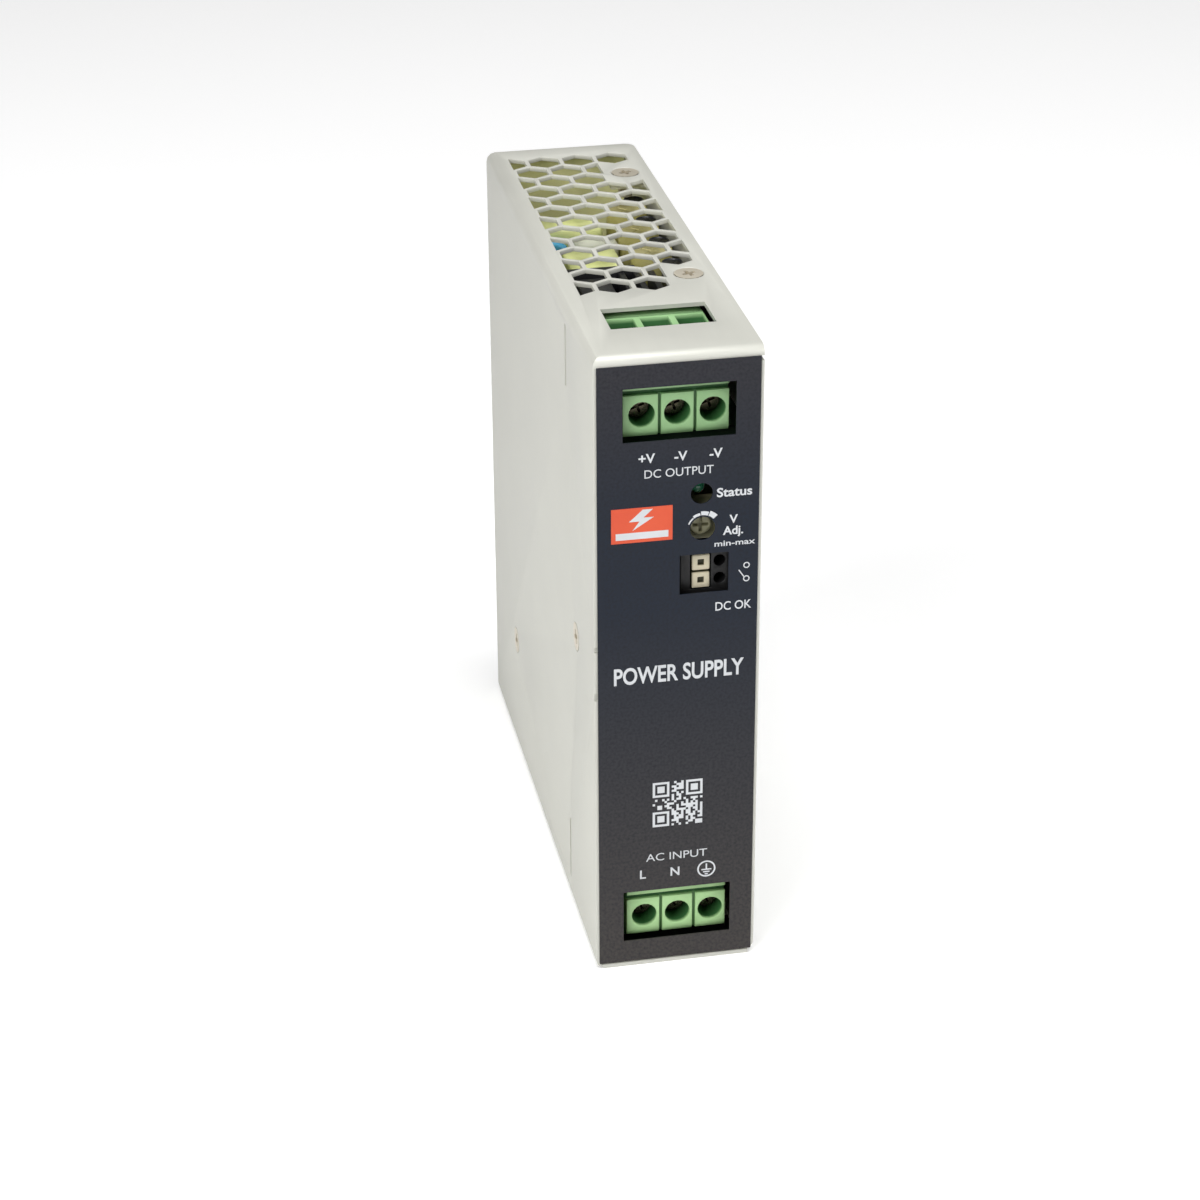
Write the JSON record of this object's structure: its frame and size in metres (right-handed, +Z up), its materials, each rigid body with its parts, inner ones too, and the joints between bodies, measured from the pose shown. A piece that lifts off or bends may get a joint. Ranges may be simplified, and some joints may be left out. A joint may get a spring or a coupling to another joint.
{
  "type": "din rail power supply",
  "caption": "Slim upright DIN rail power supply with a folded metal case, hexagon vents, green screw terminals, trimmer and a sprung rail latch.",
  "frame": {"origin": "middle of the footprint (case and rail clip), level with the underside of the case", "axes": "+X right seen from the front, the front faces -Y, +Z up"},
  "size_m": [0.0304, 0.12, 0.124],
  "materials": {
    "case_sheet": "satin powder-coated sheet steel",
    "label_foil": "printed polyester foil",
    "zinc_screw": "zinc-plated",
    "clamp_nickel": "nickel-plated",
    "contact_tin": "tinned",
    "green_plastic": "moulded",
    "black_plastic": "moulded",
    "button_cream": "moulded",
    "rotor_olive": "moulded",
    "lamp_green": "clear green epoxy",
    "board_laminate": "solder mask over laminate",
    "insulation_film": "film",
    "ferrite": "sintered ferrite",
    "yellow_winding": "polyester tape",
    "can_sleeve": "shrink sleeve",
    "blue_coat": "epoxy coat",
    "brown_case": "moulded",
    "black_anodised": "black anodised",
    "plain_aluminium": "mill finish",
    "bracket_steel": "zinc-plated",
    "spring_steel": "bright wire"
  },
  "bodies": {
    "case": {"case_shell": "case_sheet", "side_cover": "case_sheet", "front_label": "label_foil", "cover_screw_1": "zinc_screw", "cover_screw_2": "zinc_screw", "cover_screw_3": "zinc_screw", "cover_screw_4": "zinc_screw", "side_screw_1": "zinc_screw", "side_screw_2": "zinc_screw", "bracket_screw_1": "zinc_screw", "bracket_screw_2": "zinc_screw", "rail_bracket": "bracket_steel", "latch_spring": "spring_steel", "output_terminal_housing": "green_plastic", "output_contact_1": "contact_tin", "output_contact_2": "contact_tin", "output_contact_3": "contact_tin", "input_terminal_housing": "green_plastic", "input_contact_1": "contact_tin", "input_contact_2": "contact_tin", "input_contact_3": "contact_tin", "signal_terminal_housing": "black_plastic", "trimmer_body": "rotor_olive", "status_led": "lamp_green", "main_board": "board_laminate", "control_board": "board_laminate", "output_board": "board_laminate", "input_board": "board_laminate", "insulation_sheet": "insulation_film", "transformer_core": "ferrite", "transformer_coil": "yellow_winding", "bulk_capacitor": "can_sleeve", "output_capacitor_1": "can_sleeve", "output_capacitor_2": "can_sleeve", "line_choke": "ferrite", "x_capacitor": "yellow_winding", "y_capacitor": "blue_coat", "bridge_rectifier": "black_plastic", "primary_heatsink": "plain_aluminium", "output_heatsink": "black_anodised", "fuse": "brown_case", "relay": "black_plastic", "output_inductor": "yellow_winding", "boost_choke": "yellow_winding"},
    "output_screw_1": {"output_screw_1": "zinc_screw"},
    "output_cage_1": {"output_cage_1": "clamp_nickel"},
    "output_screw_2": {"output_screw_2": "zinc_screw"},
    "output_cage_2": {"output_cage_2": "clamp_nickel"},
    "output_screw_3": {"output_screw_3": "zinc_screw"},
    "output_cage_3": {"output_cage_3": "clamp_nickel"},
    "input_screw_1": {"input_screw_1": "zinc_screw"},
    "input_cage_1": {"input_cage_1": "clamp_nickel"},
    "input_screw_2": {"input_screw_2": "zinc_screw"},
    "input_cage_2": {"input_cage_2": "clamp_nickel"},
    "input_screw_3": {"input_screw_3": "zinc_screw"},
    "input_cage_3": {"input_cage_3": "clamp_nickel"},
    "release_button_1": {"release_button_1": "button_cream"},
    "release_button_2": {"release_button_2": "button_cream"},
    "trimmer_rotor": {"trimmer_rotor": "rotor_olive"},
    "rail_latch": {"rail_latch": "black_plastic"}
  },
  "joints": [
    {"name": "output_screw_1_turn", "type": "hinge", "parent": "case", "child": "output_screw_1", "pos_m": [-0.00615, -0.05368, 0.11205], "axis": [0, 1, 0], "range_deg": [0, 1800]},
    {"name": "output_cage_1_slide", "type": "slide", "parent": "case", "child": "output_cage_1", "axis": [0, 1, 0], "range_m": [-0.0025, 0]},
    {"name": "output_screw_2_turn", "type": "hinge", "parent": "case", "child": "output_screw_2", "pos_m": [0.0002, -0.05368, 0.11205], "axis": [0, 1, 0], "range_deg": [0, 1800]},
    {"name": "output_cage_2_slide", "type": "slide", "parent": "case", "child": "output_cage_2", "axis": [0, 1, 0], "range_m": [-0.0025, 0]},
    {"name": "output_screw_3_turn", "type": "hinge", "parent": "case", "child": "output_screw_3", "pos_m": [0.00655, -0.05368, 0.11205], "axis": [0, 1, 0], "range_deg": [0, 1800]},
    {"name": "output_cage_3_slide", "type": "slide", "parent": "case", "child": "output_cage_3", "axis": [0, 1, 0], "range_m": [-0.0025, 0]},
    {"name": "input_screw_1_turn", "type": "hinge", "parent": "case", "child": "input_screw_1", "pos_m": [-0.00555, -0.05368, 0.0096], "axis": [0, 1, 0], "range_deg": [0, 1800]},
    {"name": "input_cage_1_slide", "type": "slide", "parent": "case", "child": "input_cage_1", "axis": [0, 1, 0], "range_m": [-0.0025, 0]},
    {"name": "input_screw_2_turn", "type": "hinge", "parent": "case", "child": "input_screw_2", "pos_m": [0.0008, -0.05368, 0.0096], "axis": [0, 1, 0], "range_deg": [0, 1800]},
    {"name": "input_cage_2_slide", "type": "slide", "parent": "case", "child": "input_cage_2", "axis": [0, 1, 0], "range_m": [-0.0025, 0]},
    {"name": "input_screw_3_turn", "type": "hinge", "parent": "case", "child": "input_screw_3", "pos_m": [0.00715, -0.05368, 0.0096], "axis": [0, 1, 0], "range_deg": [0, 1800]},
    {"name": "input_cage_3_slide", "type": "slide", "parent": "case", "child": "input_cage_3", "axis": [0, 1, 0], "range_m": [-0.0025, 0]},
    {"name": "release_button_1_press", "type": "slide", "parent": "case", "child": "release_button_1", "axis": [0, 1, 0], "range_m": [0, 0.0012], "stiffness_N_per_m": 400, "springref_m": -0.001},
    {"name": "release_button_2_press", "type": "slide", "parent": "case", "child": "release_button_2", "axis": [0, 1, 0], "range_m": [0, 0.0012], "stiffness_N_per_m": 400, "springref_m": -0.001},
    {"name": "trimmer_turn", "type": "hinge", "parent": "case", "child": "trimmer_rotor", "pos_m": [0.0044, -0.05828, 0.0903], "axis": [0, 1, 0], "range_deg": [-135, 135]},
    {"name": "rail_latch_pull", "type": "slide", "parent": "case", "child": "rail_latch", "axis": [0, 0, -1], "range_m": [0, 0.0045], "stiffness_N_per_m": 1500, "springref_m": -0.003, "deforming": ["latch_spring"]}
  ],
  "couplings": [
    {"joint": "output_screw_1_turn", "follows": "output_cage_1_slide", "rad_per_m": -12566},
    {"joint": "output_screw_2_turn", "follows": "output_cage_2_slide", "rad_per_m": -12566},
    {"joint": "output_screw_3_turn", "follows": "output_cage_3_slide", "rad_per_m": -12566},
    {"joint": "input_screw_1_turn", "follows": "input_cage_1_slide", "rad_per_m": -12566},
    {"joint": "input_screw_2_turn", "follows": "input_cage_2_slide", "rad_per_m": -12566},
    {"joint": "input_screw_3_turn", "follows": "input_cage_3_slide", "rad_per_m": -12566}
  ]
}
